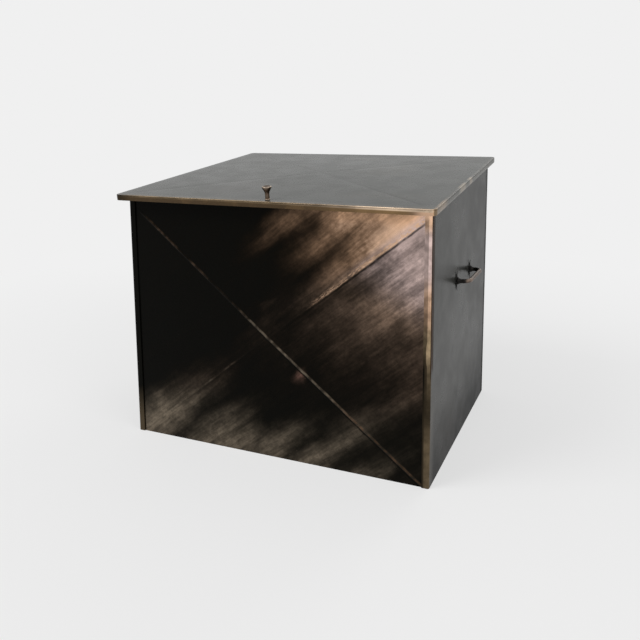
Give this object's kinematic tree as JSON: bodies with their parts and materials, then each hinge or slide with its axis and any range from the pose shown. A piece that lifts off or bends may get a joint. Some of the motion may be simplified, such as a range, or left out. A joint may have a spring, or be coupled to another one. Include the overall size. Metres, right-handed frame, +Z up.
{
  "type": "kindling box",
  "caption": "Free-standing sheet-steel hearth box for kindling with a sloping hinged lid, a lid knob and a bow handle on each side.",
  "frame": {"origin": "on the floor, under the middle of the box", "axes": "+X to the right along the front, +Y from the front to the hinges at the back, +Z up"},
  "size_m": [0.546, 0.4245, 0.4473],
  "materials": {
    "front_patina": "near-black satin lacquer, rubbed through to copper in diagonal brush strokes",
    "side_patina": "dark satin lacquer with copper-rubbed edges",
    "lid_patina": "dark satin lacquer, faintly rubbed, with a copper-rubbed rim",
    "rubbed_copper": "aged copper, rubbed on the high spots",
    "black_iron": "black iron with copper-rubbed edges",
    "inner_steel": "matt black coating",
    "fastener_zinc": "zinc plated, dull"
  },
  "bodies": {
    "box": {"front_panel": "front_patina", "back_panel": "side_patina", "left_side_panel": "side_patina", "right_side_panel": "side_patina", "floor_panel": "inner_steel", "left_hinge_body_leaf": "black_iron", "left_hinge_pin": "fastener_zinc", "left_hinge_rivet_1": "fastener_zinc", "left_hinge_rivet_2": "fastener_zinc", "left_hinge_rivet_3": "fastener_zinc", "right_hinge_body_leaf": "black_iron", "right_hinge_pin": "fastener_zinc", "right_hinge_rivet_1": "fastener_zinc", "right_hinge_rivet_2": "fastener_zinc", "right_hinge_rivet_3": "fastener_zinc", "left_handle_bow": "black_iron", "left_handle_front_rosette": "black_iron", "left_handle_rear_rosette": "black_iron", "left_handle_front_screw": "fastener_zinc", "left_handle_rear_screw": "fastener_zinc", "left_handle_front_washer": "fastener_zinc", "left_handle_rear_washer": "fastener_zinc", "right_handle_bow": "black_iron", "right_handle_front_rosette": "black_iron", "right_handle_rear_rosette": "black_iron", "right_handle_front_screw": "fastener_zinc", "right_handle_rear_screw": "fastener_zinc", "right_handle_front_washer": "fastener_zinc", "right_handle_rear_washer": "fastener_zinc"},
    "lid": {"lid_panel": "lid_patina", "lid_front_edging": "lid_patina", "lid_left_edging": "lid_patina", "lid_right_edging": "lid_patina", "lid_rear_edging": "lid_patina", "lid_knob": "rubbed_copper", "knob_screw": "fastener_zinc", "knob_washer": "fastener_zinc", "left_hinge_lid_leaf": "black_iron", "right_hinge_lid_leaf": "black_iron"}
  },
  "joints": [
    {"name": "lid_hinge", "type": "hinge", "parent": "box", "child": "lid", "pos_m": [0, 0.19398, 0.43977], "axis": [-1, 0, 0], "range_deg": [0, 104]}
  ]
}
